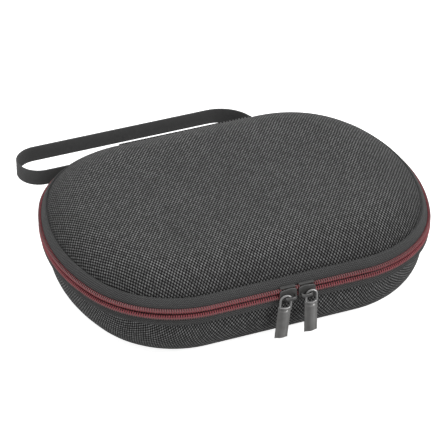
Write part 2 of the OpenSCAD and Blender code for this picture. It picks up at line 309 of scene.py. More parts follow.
class Graph:
    """A small helper that builds a node material."""

    def __init__(self, name):
        self.material = bpy.data.materials.new(name)
        self.material.use_nodes = True
        self.nodes = self.material.node_tree.nodes
        self.links = self.material.node_tree.links
        self.shader = self.nodes["Principled BSDF"]

    def put(self, socket, value):
        if isinstance(value, bpy.types.NodeSocket):
            self.links.new(value, socket)
        else:
            socket.default_value = value

    def math(self, operation, a, b=None):
        node = self.nodes.new("ShaderNodeMath")
        node.operation = operation
        self.put(node.inputs[0], a)
        if b is not None:
            self.put(node.inputs[1], b)
        return node.outputs[0]

    def uv(self):
        """The weave map's two coordinates, in millimetres."""
        node = self.nodes.new("ShaderNodeUVMap")
        node.uv_map = "weave"
        parts = self.nodes.new("ShaderNodeSeparateXYZ")
        self.links.new(node.outputs[0], parts.inputs[0])
        return parts.outputs[0], parts.outputs[1]

    def place(self):
        """The point's place in the object, in metres."""
        return self.nodes.new("ShaderNodeTexCoord").outputs["Object"]

    def vector(self, x, y, z=0.0):
        node = self.nodes.new("ShaderNodeCombineXYZ")
        for socket, value in zip(node.inputs, (x, y, z)):
            self.put(socket, value)
        return node.outputs[0]

    def noise(self, vector, scale, detail=2.0, rough=0.5):
        node = self.nodes.new("ShaderNodeTexNoise")
        self.put(node.inputs["Vector"], vector)
        self.put(node.inputs["Scale"], scale)
        self.put(node.inputs["Detail"], detail)
        self.put(node.inputs["Roughness"], rough)
        return node.outputs["Fac"]

    def random(self, vector):
        """A random number for each whole-numbered place."""
        node = self.nodes.new("ShaderNodeTexWhiteNoise")
        node.noise_dimensions = "2D"
        self.put(node.inputs["Vector"], vector)
        return node.outputs["Value"]

    def ramp(self, value, low_in, high_in, low_out=0.0, high_out=1.0):
        node = self.nodes.new("ShaderNodeMapRange")
        for socket, number in zip(node.inputs, (value, low_in, high_in, low_out, high_out)):
            self.put(socket, number)
        return node.outputs[0]

    def mix(self, factor, a, b):
        node = self.nodes.new("ShaderNodeMix")
        node.data_type = "RGBA"
        self.put(node.inputs["Factor"], factor)
        self.put(node.inputs["A"], a)
        self.put(node.inputs["B"], b)
        return node.outputs["Result"]

    def shade(self, colour, factor):
        """A colour multiplied by a grey factor."""
        node = self.nodes.new("ShaderNodeMix")
        node.data_type = "RGBA"
        node.blend_type = "MULTIPLY"
        self.put(node.inputs["Factor"], 1.0)
        self.put(node.inputs["A"], colour)
        grey = self.nodes.new("ShaderNodeCombineColor")
        for socket in grey.inputs[:3]:
            self.put(socket, factor)
        self.links.new(grey.outputs[0], node.inputs["B"])
        return node.outputs["Result"]

    def bump(self, height, distance):
        node = self.nodes.new("ShaderNodeBump")
        self.put(node.inputs["Height"], height)
        self.put(node.inputs["Distance"], distance * MM)
        return node.outputs[0]

    def finish(self, colour, roughness, normal=None, **others):
        self.put(self.shader.inputs["Base Color"], colour)
        self.put(self.shader.inputs["Roughness"], roughness)
        if normal is not None:
            self.put(self.shader.inputs["Normal"], normal)
        for name, value in others.items():
            self.put(self.shader.inputs[name.replace("_", " ")], value)
        return self.material


def grey(level, tint=(1.0, 1.0, 1.0)):
    """A grey of one level, or a tint of it."""
    return (level * tint[0], level * tint[1], level * tint[2], 1.0)


def woven(name, pitch_x, pitch_y, warp, weft, gap, relief, painted_shade_foot=None):
    """Plain weave: yarns along y are pitch_x apart, and yarns along x are pitch_y apart.

    The last argument gives two heights in millimetres. The cloth gets darker from the second down to the
    first: painted shade at the foot of the lid's wall, beside the zip tape.
    """
    g = Graph(name)
    x, y = g.uv()
    wander = g.noise(g.vector(x, y), 0.11, 3.0)
    x = g.math("ADD", x, g.ramp(wander, 0.2, 0.8, -0.3, 0.3))
    column, row = g.math("DIVIDE", x, pitch_x), g.math("DIVIDE", y, pitch_y)
    across_warp = g.math("SINE", g.math("MULTIPLY", column, math.pi))
    across_weft = g.math("SINE", g.math("MULTIPLY", row, math.pi))
    crossing = g.math("MULTIPLY", across_warp, across_weft)
    pillow = g.math("POWER", g.math("ABSOLUTE", crossing), 0.5)
    on_top = g.ramp(crossing, -0.16, 0.16)
    each = g.random(g.vector(g.math("FLOOR", column), g.math("FLOOR", row)))
    fibres = g.noise(g.vector(x, y), 5.0, 3.0, 0.7)
    mottle = g.noise(g.place(), 26.0, 3.0)
    # Painted light: warp and weft are one yarn, so the bright warp is a painted highlight, and the dark
    # weft and the near black gaps between yarns are painted shade.
    colour = g.mix(on_top, weft, warp)
    colour = g.mix(g.ramp(pillow, 0.15, 0.6), gap, colour)
    colour = g.shade(colour, g.ramp(each, 0.0, 1.0, 0.62, 1.38))
    colour = g.shade(colour, g.ramp(fibres, 0.25, 0.75, 0.82, 1.18))
    colour = g.shade(colour, g.ramp(mottle, 0.3, 0.7, 0.93, 1.07))
    # Painted shade: darker towards the foot of the wall, where the wall meets the zip tape.
    if painted_shade_foot is not None:
        parts = g.nodes.new("ShaderNodeSeparateXYZ")
        g.put(parts.inputs[0], g.place())
        colour = g.shade(colour, g.ramp(parts.outputs[2], painted_shade_foot[0] * MM, painted_shade_foot[1] * MM, 0.42, 1.0))
    raised = g.math("MULTIPLY", pillow, g.ramp(on_top, 0.0, 1.0, 0.45, 1.0))
    height = g.math("ADD", raised, g.math("MULTIPLY", fibres, 0.1))
    shine = g.ramp(on_top, 0.0, 1.0, 0.08, 0.45)
    return g.finish(colour, 0.5, g.bump(height, relief), Sheen_Weight=0.05, Specular_IOR_Level=shine)


def twill(name, pitch, colour, relief):
    """Fine twill: narrow ribs on a diagonal of the cloth."""
    g = Graph(name)
    x, y = g.uv()
    diagonal = g.math("ADD", x, y)
    rib = g.math("SINE", g.math("MULTIPLY", diagonal, 2 * math.pi / pitch))
    steps = g.math("SINE", g.math("MULTIPLY", y, 2 * math.pi / (0.8 * pitch)))
    height = g.math("ADD", rib, g.math("MULTIPLY", steps, 0.5))
    fibres = g.noise(g.vector(x, y), 1.6, 3.0, 0.7)
    mottle = g.noise(g.place(), 60.0, 3.0)
    # Painted shade and highlight: the tone follows the rib height, darker in the hollows and lighter on the
    # ribs.
    tone = g.shade(colour, g.ramp(height, -1.2, 1.2, 0.4, 1.3))
    tone = g.shade(tone, g.ramp(fibres, 0.25, 0.75, 0.35, 1.65))
    tone = g.shade(tone, g.ramp(mottle, 0.3, 0.7, 0.92, 1.08))
    normal = g.bump(g.math("ADD", height, g.math("MULTIPLY", fibres, 0.8)), relief)
    return g.finish(tone, 0.8, normal, Sheen_Weight=0.1, Specular_IOR_Level=0.2)


def webbing(name, colour, pitch=0.8):
    """Flat webbing: ribs along its length, crossed by a fine weft."""
    g = Graph(name)
    x, y = g.uv()
    rib = g.math("ABSOLUTE", g.math("SINE", g.math("MULTIPLY", y, math.pi / pitch)))
    weft = g.math("SINE", g.math("MULTIPLY", x, 2 * math.pi / 0.7))
    height = g.math("ADD", rib, g.math("MULTIPLY", weft, 0.18))
    fibres = g.noise(g.vector(x, y), 3.5, 3.0, 0.7)
    # Painted shade and highlight: the tone follows the rib height, darker between the ribs and lighter on
    # them.
    tone = g.shade(colour, g.ramp(height, 0.0, 1.1, 0.72, 1.12))
    tone = g.shade(tone, g.ramp(fibres, 0.25, 0.75, 0.85, 1.15))
    normal = g.bump(g.math("ADD", height, g.math("MULTIPLY", fibres, 0.3)), 0.12)
    return g.finish(tone, 0.62, normal, Sheen_Weight=0.15, Specular_IOR_Level=0.3)


def brushed_cloth(name, colour):
    """Short brushed pile, as on a lining."""
    g = Graph(name)
    place = g.place()
    pile = g.noise(place, 1400.0, 4.0, 0.75)
    patches = g.noise(place, 70.0, 3.0)
    tone = g.shade(colour, g.ramp(pile, 0.25, 0.75, 0.65, 1.35))
    tone = g.shade(tone, g.ramp(patches, 0.3, 0.7, 0.85, 1.15))
    return g.finish(tone, 0.95, g.bump(pile, 0.15), Sheen_Weight=0.2, Specular_IOR_Level=0.2)


def foam(name, colour):
    """Fine closed cells."""
    g = Graph(name)
    cells = g.noise(g.place(), 1800.0, 2.0, 0.6)
    tone = g.shade(colour, g.ramp(cells, 0.3, 0.7, 0.8, 1.2))
    return g.finish(tone, 0.9, g.bump(cells, 0.08))


def coil_plastic(name, colour, dark):
    """Drawn monofilament: a soft gloss, with small darker patches."""
    g = Graph(name)
    spread = g.noise(g.place(), 900.0, 2.0)
    patches = g.noise(g.place(), 35.0, 2.0)
    tone = g.mix(g.ramp(spread, 0.3, 0.7, 0.0, 0.45), colour, dark)
    tone = g.shade(tone, g.ramp(patches, 0.3, 0.7, 0.88, 1.12))
    return g.finish(tone, 0.42, g.bump(spread, 0.03), Specular_IOR_Level=0.45)


def gunmetal(name, level):
    """Plated zinc: fine tumbling marks, with edges brighter, partly worn and partly a painted highlight."""
    g = Graph(name)
    place = g.place()
    marks = g.noise(place, 2600.0, 3.0, 0.7)
    clouds = g.noise(place, 220.0, 3.0)
    geometry = g.nodes.new("ShaderNodeNewGeometry")
    # Brighter convex edges: partly wear, partly a painted highlight.
    wear_and_highlight = g.ramp(geometry.outputs["Pointiness"], 0.52, 0.6)
    tone = g.mix(wear_and_highlight, grey(level, (1.0, 0.99, 0.97)), grey(level * 2.1))
    tone = g.shade(tone, g.ramp(clouds, 0.3, 0.7, 0.88, 1.12))
    rough = g.ramp(marks, 0.25, 0.75, 0.32, 0.5)
    return g.finish(tone, rough, g.bump(marks, 0.012), Metallic=0.4)


def plain_thread(name, colour):
    """Twisted thread."""
    g = Graph(name)
    x, y = g.uv()
    twist = g.math("SINE", g.math("MULTIPLY", g.math("ADD", x, y), 2 * math.pi / 0.45))
    # Painted shade and highlight: the tone follows the twist, darker in its grooves and lighter on its
    # plies.
    tone = g.shade(colour, g.ramp(twist, -1.0, 1.0, 0.75, 1.2))
    return g.finish(tone, 0.6, g.bump(twist, 0.04))


# Yarn colours for warp, weft and gap: they are one yarn, and their difference is painted highlight and
# painted shade.
YARNS = (0.926, 1.293, grey(0.168), grey(0.012), grey(0.004), 0.3)
NYLON = woven("ballistic_nylon", *YARNS)
# The lid's cloth, with painted shade at the foot of its wall.
SHADED_LID_NYLON = woven("ballistic_nylon_lid", *YARNS, (ZIP_Z + 7, ZIP_Z + 19))
TAPE = twill("zip_tape_twill", 1.25, grey(0.067), 0.07)
TAPE_INNER = twill("binding_twill", 0.7, grey(0.03), 0.06)
STRAP = webbing("strap_webbing", grey(0.068))
ANCHOR = webbing("anchor_webbing", grey(0.045), 0.6)
LINING_CLOTH = brushed_cloth("lining_cloth", grey(0.035))
HINGE_CLOTH = brushed_cloth("hinge_lining_cloth", grey(0.028))
EVA = foam("eva_foam", grey(0.02))
COIL = coil_plastic("zip_coil_red", (0.42, 0.10, 0.115, 1.0), (0.24, 0.04, 0.05, 1.0))
# Very dark red: painted shade in the gaps between the coil's loops.
SHADED_CORD = coil_plastic("zip_cord_red", (0.06, 0.006, 0.009, 1.0), (0.03, 0.003, 0.005, 1.0))
METAL = gunmetal("gunmetal", 0.155)
# The sliders' copy of the gunmetal is darker: painted shade around the bridge.
SHADED_METAL = gunmetal("gunmetal_slider", 0.075)
THREAD = plain_thread("sewing_thread", grey(0.07))
COIL_THREAD = plain_thread("coil_sewing_thread", grey(0.27, (1.0, 0.55, 0.55)))
NET = plain_thread("pocket_net_cord", grey(0.03))
ELASTIC = webbing("pocket_elastic", grey(0.035), 1.0)

# ---------------------------------------------------------------- moulded halves

KNEE = math.atan2(4, 3)  # where the tight arc of a shoulder meets the wide one


class Half:
    """The section of a moulded half: a wall, a tight arc, a wide arc and a nearly flat top."""

    def __init__(self, name, up, radii, crown, thread_z):
        cover = name + "_cover"
        self.name, self.up, self.crown, self.thread_z = name, up, crown, thread_z
        self.coil_shift = 0.0 if up > 0 else 0.5
        self.tight, self.wide = radii
        self.inset = float(round(HALF_DEPTH + low(cover)[1], 1))
        self.height = float(high(cover)[2]) - ZIP_Z if up > 0 else ZIP_Z - float(low(cover)[2])
        spread = self.wide - self.tight
        self.tight_at = (self.inset + self.tight, self.height - self.wide + spread * math.sin(KNEE))
        self.wide_at = (self.tight_at[0] + spread * math.cos(KNEE), self.height - self.wide)

    def skin_at(self, depth, z):
        """Distance inside the outline of a face at a depth below the skin, at a height from the zip."""
        r = max(0.0, self.tight - depth)
        if z <= self.tight_at[1]:
            return self.inset + depth
        if z <= self.tight_at[1] + r * math.sin(KNEE):
            return self.tight_at[0] - math.sqrt(r**2 - (z - self.tight_at[1]) ** 2)
        return self.wide_at[0] - math.sqrt((self.wide - depth) ** 2 - (z - self.wide_at[1]) ** 2)

    def rows(self, depth):
        """Rows of (distance inside the outline, height, distance along the skin from the flat top)."""
        rows = []
        wide_run = self.wide * (HALF_TURN / 2 - KNEE)
        for t in np.linspace(0, 1, 4)[:-1]:
            z = RIM + (self.tight_at[1] - RIM) * t
            rows.append((self.inset + depth, z, wide_run + self.tight * KNEE + self.tight_at[1] - z))
        for angle in np.linspace(0, KNEE, 10)[:-1]:
            run = wide_run + self.tight * (KNEE - angle)
            rows.append(arc_row(self.tight_at, self.tight - depth, angle, run))
        for angle in np.linspace(KNEE, HALF_TURN / 2, 17):
            run = self.wide * (HALF_TURN / 2 - angle)
            rows.append(arc_row(self.wide_at, self.wide - depth, angle, run))
        for t in np.linspace(0, 1, 8)[1:]:
            rows.append((self.wide_at[0] + (CORNER_R - 1 - self.wide_at[0]) * t, self.height - depth, None))
        return rows


def arc_row(centre, r, angle, run):
    """A row on one of a section's arcs, at an angle up from level."""
    return centre[0] - r * math.cos(angle), centre[1] + r * math.sin(angle), run


def dome(half, grid):
    """Extra height of the domed top, fading out towards the rim."""
    x, y, z = grid.T
    t = np.clip((z - RIM) / (half.height - RIM), 0, 1)
    flat = np.clip(1 - (x / HALF_LENGTH) ** 2, 0, 1) * np.clip(1 - (y / HALF_DEPTH) ** 2, 0, 1)
    return half.crown * flat * t * t * (3 - 2 * t)


def ripple(grid):
    """Slow unevenness of a moulded skin, about a tenth of a millimetre."""
    x, y, _ = grid.T
    return 0.06 * (np.sin(x / 13 + 1) * np.cos(y / 11 - 1) + np.sin((x + y) / 19 + 2))


def half_skin(half, depth):
    """A face of a layer as a grid of vertices, station by station, and its weave map."""
    points, normals, _ = stations(2.6)
    rows = half.rows(depth)
    grid, weave = [], []
    for p, n in zip(points, normals):
        flat_edge = p - half.wide_at[0] * n
        for d, z, run in rows:
            x, y = p - d * n
            grid.append((x, y, z))
            weave.append((x, y) if run is None else tuple(flat_edge + run * n))
        edge = p - (CORNER_R - 1) * n
        spine = np.array([math.copysign(min(abs(edge[0]), 0.8 * STRAIGHT), edge[0]), 0.0])
        for t in np.linspace(0, 1, 6)[1:]:
            x, y = edge * (1 - t) + spine * t
            grid.append((x, y, half.height - depth))
            weave.append((x, y))
    grid = np.array(grid)
    away = np.clip((grid[:, 2] - RIM) / 8, 0, 1) * (1 if half.crown else 0)
    grid[:, 2] += dome(half, grid) + away * ripple(grid)
    return grid, weave, len(points), len(grid) // len(points)


def layer(half, name, node, outer, inner, material, slot):
    """A closed sheet between two depths below a half's outer skin."""
    skin, weave, count, columns = half_skin(half, outer)
    back, weave_back, _, _ = half_skin(half, inner)
    faces = grid_faces(count, columns, True, False)
    start = len(skin)
    faces += [[start + i for i in f] for f in faces]
    for i in range(count):
        a, b = i * columns, (i + 1) % count * columns
        faces.append([a, b, start + b, start + a])
    vertices = np.vstack([skin, back])
    vertices[:, 2] = ZIP_Z + half.up * vertices[:, 2]
    piece = make(half.name + name, vertices, faces, material, weave + weave_back)
    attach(piece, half.name)
    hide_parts(half.name + node)


def moulded_halves():
    for half in (LID, BASE):
        cloth = SHADED_LID_NYLON if half is LID else NYLON
        layer(half, "_woven_cover", "_cover", 0, COVER, cloth, "ballistic_nylon")
        layer(half, "_foam_shell", "_foam", FOAM_START, FOAM_START + FOAM, EVA, "moulded_foam")
        layer(half, "_lining_cloth", "_lining", LINING_START, LAMINATE, LINING_CLOTH, "lining")


# ---------------------------------------------------------------- zip


def zip_tapes():
    """The two tapes, each from behind its row of the coil to its half's cover."""
    lid = [
        (-1.4, 0.5), (-1.4, 3.0), (-1.7, 4.4), (-2.3, 5.7), (-3.1, 6.9), (-3.7, 7.55), (-4.2, 7.65),
        (-4.6, 7.25), (-5.25, 7.3), (-5.2, 6.7), (-4.4, 6.5), (-3.8, 5.9), (-3.0, 4.5), (-2.55, 3.4),
        (-2.5, 0.5),
    ]
    base = [
        (-1.4, 0.5), (-1.4, 3.0), (-1.1, 4.3), (-0.55, 5.5), (-0.3, 6.2), (-0.7, 6.9), (-2.2, 7.4),
        (-3.95, 7.8), (-3.95, 7.0), (-2.8, 5.9), (-2.5, 3.6), (-2.5, 0.5),
    ]
    for half, profile in ((LID, lid), (BASE, base)):
        tape = smooth_loop(profile)
        swept_loop(half, "_tape", tape, TAPE, 2.0, 2.4, [half.name + "_zip_tape"])


def coil_row(half):
    """One row of the coil: a loop of monofilament at every pitch."""
    shape = [(-1.4, 2.6), (-0.8, COIL_HIGH), (-0.28, 2.4), (0, 1.75), (-0.06, 1.25), (-0.45, 0.8)]
    shape += [(-1.1, COIL_LOW)]
    parts = Parts()
    for i in range(LOOPS):
        p, n = outline_at((i + 0.25 + half.coil_shift) * ZIP_LENGTH / LOOPS)
        along = np.array([-n[1], n[0]])
        path = []
        for k, (out, rise) in enumerate(shape):
            lean = 0.16 * (k / (len(shape) - 1) - 0.5)
            x, y = p + out * n + lean * along
            path.append((x, y, ZIP_Z + half.up * rise))
        parts.add(*tube(path, 0.33, 0.3, (along[0], along[1], 0.0), 8))
    piece = parts.build(half.name + "_coil_loops", COIL, "zip_coil")
    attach(piece, half.name)
    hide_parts(half.name + "_zip_coil")


def coil_stitches(half):
    """The chain stitches that hold a row to its tape: a slanting thread over each loop's outer half."""
    shape = [(-0.05, 1.45, -0.3), (0.16, 1.9, -0.1), (0.08, 2.6, 0.1), (-0.5, 3.3, 0.3)]
    parts = Parts()
    for i in range(LOOPS):
        path = []
        for out, rise, ahead in shape:
            along = (i + 0.5 + half.coil_shift + ahead) * ZIP_LENGTH / (LOOPS + 1)
            p, n = outline_at(max(0.0, along))
            x, y = p + out * n
            path.append((x, y, ZIP_Z + half.up * rise))
        parts.add(*tube(path, 0.24, 0.16, (n[1], -n[0], 0.0), 6))
    piece = parts.build(half.name + "_coil_stitches", COIL_THREAD, "sewing_thread")
    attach(piece, half.name)


def coil_cord(half):
    """The filler cord that a row is wound on, dark as painted shade in the groove between the loops."""
    section = [(-0.95 + 0.4 * math.cos(a), 1.6 + 1.2 * math.sin(a)) for a in np.arange(10) * math.pi / 5]
    swept_loop(half, "_coil_cord", section, SHADED_CORD, 2.5, 0.05)


def zip_stops():
    """Gives the two stops of the CAD their metal."""
    for name in ("zip_stop_left", "zip_stop_right"):
        mesh = frame["nodes"][name].data
        mesh.materials.clear()
        mesh.materials.append(METAL)


def zip_chain():
    zip_tapes()
    for half in (LID, BASE):
        coil_row(half)
        coil_stitches(half)
        coil_cord(half)
    zip_stops()


# ---------------------------------------------------------------- bindings and stitches


def binding_profile(half):
    """Section of the folded tape over a half's cut edge, up its inner face to just past the thread."""
    edge = RIM - 0.7
    heights = np.linspace(edge, half.thread_z + 0.8, 9)
    points = [(-half.inset - 0.2, RIM - 0.05), (-half.inset - 0.2, edge)]
    points += [(-half.skin_at(LAMINATE + 0.65, z), z) for z in heights]
    points += [(-half.skin_at(LAMINATE + 0.05, z), z) for z in reversed(heights[1:])]
    return points


def bindings():
    for half in (LID, BASE):
        tape = smooth_loop(binding_profile(half), 1)
        swept_loop(half, "_edge_binding", tape, TAPE_INNER, 2.6, None, [half.name + "_binding"])
        binding_stitches(half)


def binding_stitches(half):
    """Lock stitches along the binding's inner face."""
    parts = Parts()
    depth = half.skin_at(LAMINATE + 0.75, half.thread_z)
    pitch = 3.2
    count = int(AROUND / pitch)
    for i in range(count):
        path = []
        for t in np.linspace(0, 1, 5):
            p, n = outline_at((i + 0.12 + 0.76 * t) * AROUND / count)
            dip = 0.22 * (2 * t - 1) ** 4
            x, y = p - (depth - dip) * n
            path.append((x, y, ZIP_Z + half.up * half.thread_z))
        parts.add(*tube(path, 0.2, 0.2, (0, 0, 1), 6))
    piece = parts.build(half.name + "_binding_stitches", THREAD, "sewing_thread")
    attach(piece, half.name)
    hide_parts(half.name + "_seam_thread")


# ---------------------------------------------------------------- hinge


def hinge_sheet(name, centre_line, thickness, material, nodes):
    """A cloth strip across the back, from (distance inside the outline, height from the zip) points."""
    line_points = np.array([(-d, z) for d, z in centre_line])
    ahead = np.gradient(line_points, axis=0)
    ahead /= np.linalg.norm(ahead, axis=1)[:, None]
    across = np.stack([-ahead[:, 1], ahead[:, 0]], 1) * thickness / 2
    ring = np.vstack([line_points + across, (line_points - across)[::-1]])
    girth = np.r_[0, np.cumsum(np.linalg.norm(np.diff(ring, axis=0), axis=1))]
    columns = np.linspace(2.6 - STRAIGHT, STRAIGHT - 2.6, 41)
    vertices, uv = [], []
    for x in columns:
        for (out, z), g in zip(ring, girth):
            vertices.append((x, HALF_DEPTH + out, ZIP_Z + z))
            uv.append((x, g))
    count = len(ring)
    faces = grid_faces(len(columns), count, False, True) + end_caps(len(vertices), count)
    piece = make(name, vertices, faces, material, uv)
    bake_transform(piece)
    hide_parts(*nodes)


def hinge():
    """The outer cloth over the back seam, and the inner one across the gap between the bindings."""
    outer = [(BASE.skin_at(-0.5, -z), z) for z in np.linspace(-14, -8.5, 6)]
    outer += [(2.6, -7), (1.6, -5), (0.8, -3), (0.4, -1.6), (0.3, -0.8), (0.3, 0), (0.3, 0.8)]
    outer += [(0.4, 1.6), (1.0, 2.8), (2.2, 4.2), (3.4, 5.4)]
    outer += [(LID.skin_at(-0.5, z), z) for z in np.linspace(6.6, 10, 6)]
    nodes = ["base_hinge_panel", "lid_hinge_panel"]
    hinge_sheet("hinge_cloth", outer, 0.7, NYLON, nodes)
    base_wall, lid_wall = (half.inset + LAMINATE + 1.0 for half in (BASE, LID))
    inner = [(base_wall, -7.5), (base_wall, -5.5), (base_wall, -4.2), (base_wall - 0.8, -3.1)]
    inner += [(5.5, -2.1), (3.0, -1.1), (1.7, -0.5), (1.4, 0), (1.7, 0.5), (3.0, 1.1), (6.5, 2.1)]
    inner += [(lid_wall - 0.8, 3.1), (lid_wall, 4.1), (lid_wall + 0.1, 5.0), (lid_wall + 1.3, 6.0)]
    nodes = ["base_hinge_lining", "lid_hinge_lining"]
    hinge_sheet("hinge_inner_cloth", inner, 0.5, HINGE_CLOTH, nodes)


# ---------------------------------------------------------------- sliders and pulls


def solid(outline, thickness, edge, segments=3):
    """A plate from a closed outline of (x, z), thickness along y from 0, with rounded edges."""
    bm = bmesh.new()
    ring = [bm.verts.new((x * MM, 0, z * MM)) for x, z in outline]
    face = bm.faces.new(ring)
    grown = bmesh.ops.extrude_face_region(bm, geom=[face])
    moved = [v for v in grown["geom"] if isinstance(v, bmesh.types.BMVert)]
    bmesh.ops.translate(bm, verts=moved, vec=(0, thickness * MM, 0))
    sharp = [e for e in bm.edges if len(e.link_faces) == 2 and e.calc_face_angle(0) > 1.0]
    bmesh.ops.bevel(bm, geom=sharp, offset=edge * MM, segments=segments, profile=0.6, affect="EDGES")
    vertices = np.array([v.co for v in bm.verts]) / MM
    bm.verts.index_update()
    faces = [[v.index for v in f.verts] for f in bm.faces]
    bm.free()
    return vertices, faces


def rounded(points, radius, steps=5):
    """A polygon with each corner replaced by an arc."""
    points = np.asarray(points, float)
    out = []
    for i, p in enumerate(points):
        before, after = points[i - 1] - p, points[(i + 1) % len(points)] - p
        a, b = before / np.linalg.norm(before), after / np.linalg.norm(after)
        half = math.acos(float(np.clip(a @ b, -1, 1))) / 2
        reach = min(radius / math.tan(half), 0.45 * min(np.linalg.norm(before), np.linalg.norm(after)))
        r = reach * math.tan(half)
        middle = (a + b) / np.linalg.norm(a + b)
        centre = p + middle * r / math.sin(half)
        start, end = p + a * reach - centre, p + b * reach - centre
        for t in np.linspace(0, 1, steps):
            direction = start * (1 - t) + end * t
            out.append(centre + direction / np.linalg.norm(direction) * r)
    return out


# Slider: x from its middle, y outwards from the zip line, z from the zip's middle.
PLATE_BACK = 0.25
PLATE_FRONT = 1.45
LEG_X, LEG_Z = -1.9, -1.3
NOSE_LEG_X = 3.4

# Pull: heights from the leg it hangs on.
PULL_BACK = PLATE_FRONT + 0.3
PULL_TOP = 2.1
EYE_HEIGHT = 8.3
PULL_LENGTH, PULL_WIDTH = 26.8, 7.2


def add_plate(parts, outline, back, thickness, edge, segments=3):
    """Adds a plate that starts at a distance back outwards from the zip line."""
    vertices, faces = solid(outline, thickness, edge, segments)
    parts.add(vertices + [0, back, 0], faces)


def bridge_path():
    """The bridge's middle line, from its rear leg over to its nose leg."""
    top = PLATE_FRONT + 2.45
    path = [(LEG_X, PLATE_FRONT - 0.3), (LEG_X, PLATE_FRONT + 1.3), (LEG_X + 0.25, top - 0.35)]
    path += [(LEG_X + 1.0, top), (0.3, top + 0.15), (1.3, top + 0.15)]
    path += [(NOSE_LEG_X - 0.9, top), (NOSE_LEG_X - 0.1, top - 0.5)]
    path += [(NOSE_LEG_X + 0.1, PLATE_FRONT + 1.0), (NOSE_LEG_X + 0.2, PLATE_FRONT - 0.3)]
    return [(x, y, LEG_Z) for x, y in path]


def slider_mesh():
    """A slider body with x towards its nose, y outwards from the case and z up."""
    parts = Parts()
    shield = rounded([(-4.7, -2.7), (-4.7, 2.7), (1.0, 3.5), (4.7, 2.7), (4.7, -2.7), (1.0, -3.5)], 1.4)
    add_plate(parts, shield, PLATE_BACK, PLATE_FRONT - PLATE_BACK, 0.35)
    back = rounded([(-4.4, -2.9), (-4.4, 2.9), (4.4, 2.9), (4.4, -2.9)], 1.2)
    add_plate(parts, back, -3.7, 1.0, 0.2)
    flange = rounded([(-4.2, 3.3), (-4.2, 4.15), (4.2, 4.15), (4.2, 3.3)], 0.3)
    for side in (-1, 1):
        add_plate(parts, [(x, side * z) for x, z in flange], -1.4, 1.9, 0.15)
    post = rounded([(1.4, -0.32), (1.4, 0.32), (4.4, 0.32), (4.4, -0.32)], 0.2)
    add_plate(parts, post, -2.8, 3.4, 0.08, 2)
    parts.add(*tube(bridge_path(), 0.95, 0.5, (0, 0, 1), 14))
    return parts


def relief(u, z, top, end):
    """How far a pull's face stands out at u, from -1 to 1 across it, and z, from its top to its end."""
    from_end = min(top - z, z - end)
    from_side = (1 - abs(u)) * PULL_WIDTH / 2
    fall = min(1.0, max(0.0, (abs(u) - 0.12) / 0.7))
    panel = 0.15 * (1 - u * u) + 0.95 * (1 - fall * fall * (3 - 2 * fall))
    side_edge = math.sqrt(max(0.0, 1 - max(0.0, 1 - from_side / 0.45) ** 2))
    end_edge = math.sqrt(max(0.0, 1 - max(0.0, 1 - from_end / 0.4) ** 2))
    edge = 0.35 + 0.65 * min(side_edge, end_edge)
    slot = math.exp(-(((z - top + 1.9 - 0.25 * u * u) / 0.4) ** 4) - (u / 0.6) ** 8)
    return 0.5 * edge + panel * min(1.0, 0.55 + from_end / 3) - 0.6 * slot


def pull_plate(top, end):
    """The pull's pressed plate: a raised panel with a slot near its top, and rounded edges."""
    rows, columns = 46, 25
    front, back = [], []
    for z in np.linspace(top, end, rows):
        for angle in np.linspace(-HALF_TURN / 2, HALF_TURN / 2, columns):
            u = math.sin(angle)
            x = u * PULL_WIDTH / 2
            front.append((x, PULL_BACK + relief(u, z, top, end), z))
            back.append((x, PULL_BACK + 0.5 * (1 - u * u) - 0.12, z))
    size = rows * columns
    faces = grid_faces(rows, columns, False, False)
    faces += [[size + i for i in f] for f in faces]
    rim = grid_rim(rows, columns)
    for a, b in zip(rim, rim[1:] + rim[:1]):
        faces.append([a, b, size + b, size + a])
    return front + back, faces


def pull_mesh():
    """A pull hanging from its leg's axis: a plate, the rod round its window, and a lip below that."""
    parts = Parts()
    half = PULL_WIDTH / 2
    plate_top = PULL_TOP - EYE_HEIGHT + 0.7
    parts.add(*pull_plate(plate_top, PULL_TOP - PULL_LENGTH))
    reach = half - 0.62
    rod = [(-reach, plate_top - 0.5), (-reach, plate_top + 1.5)]
    rod += curve(0, PULL_TOP - 0.55 - reach, reach, 180, 0, 15)
    rod += [(reach, plate_top + 1.5), (reach, plate_top - 0.5)]
    rod = [(x, PULL_BACK + 0.6, z) for x, z in rod]
    parts.add(*tube(rod, 0.55, 0.6, (0, 1, 0), 10))
    lip = []
    for t in np.linspace(-1, 1, 13):
        bulge = 1 - t * t
        lip.append((t * (half - 1.0), PULL_BACK + 0.8 + 0.75 * bulge, plate_top + 0.1 - 0.35 * bulge))
    parts.add(*tube(lip, 0.5, 0.42, (0, 0, 1), 10))
    return parts


def hang(parts, tilt):
    """Hangs a pull from its slider's rear leg, tilted by an angle in degrees."""
    c, s = math.cos(math.radians(tilt)), math.sin(math.radians(tilt))
    parts.vertices = [(LEG_X + c * x + s * z, y, LEG_Z - s * x + c * z) for x, y, z in parts.vertices]


def onto_case(parts, centre_x, side):
    """Moves parts from a slider's axes to the case. side is 1 if the nose points along +X."""
    parts.vertices = [(centre_x + side * x, -HALF_DEPTH - y, ZIP_Z + z) for x, y, z in parts.vertices]


def sliders():
    for name, side, tilt in (("left", 1, 6.0), ("right", -1, 0.0)):
        node = "slider_" + name
        centre = (low(node)[0] + high(node)[0]) / 2
        body = slider_mesh()
        onto_case(body, centre, side)
        piece = body.build(node + "_body", SHADED_METAL, "gunmetal")
        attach(piece, name + "_slider")
        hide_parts(node)
        pull = pull_mesh()
        hang(pull, tilt)
        onto_case(pull, centre, side)
        piece = pull.build("pull_" + name + "_tab", METAL, "gunmetal")
        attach(piece, name + "_pull")
        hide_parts("pull_" + name)


# ---------------------------------------------------------------- wrist loop

LOOP_GAP = 25.5  # between the loop's two runs
WEBBING = 1.1  # thickness
RIBS = 11  # across the webbing


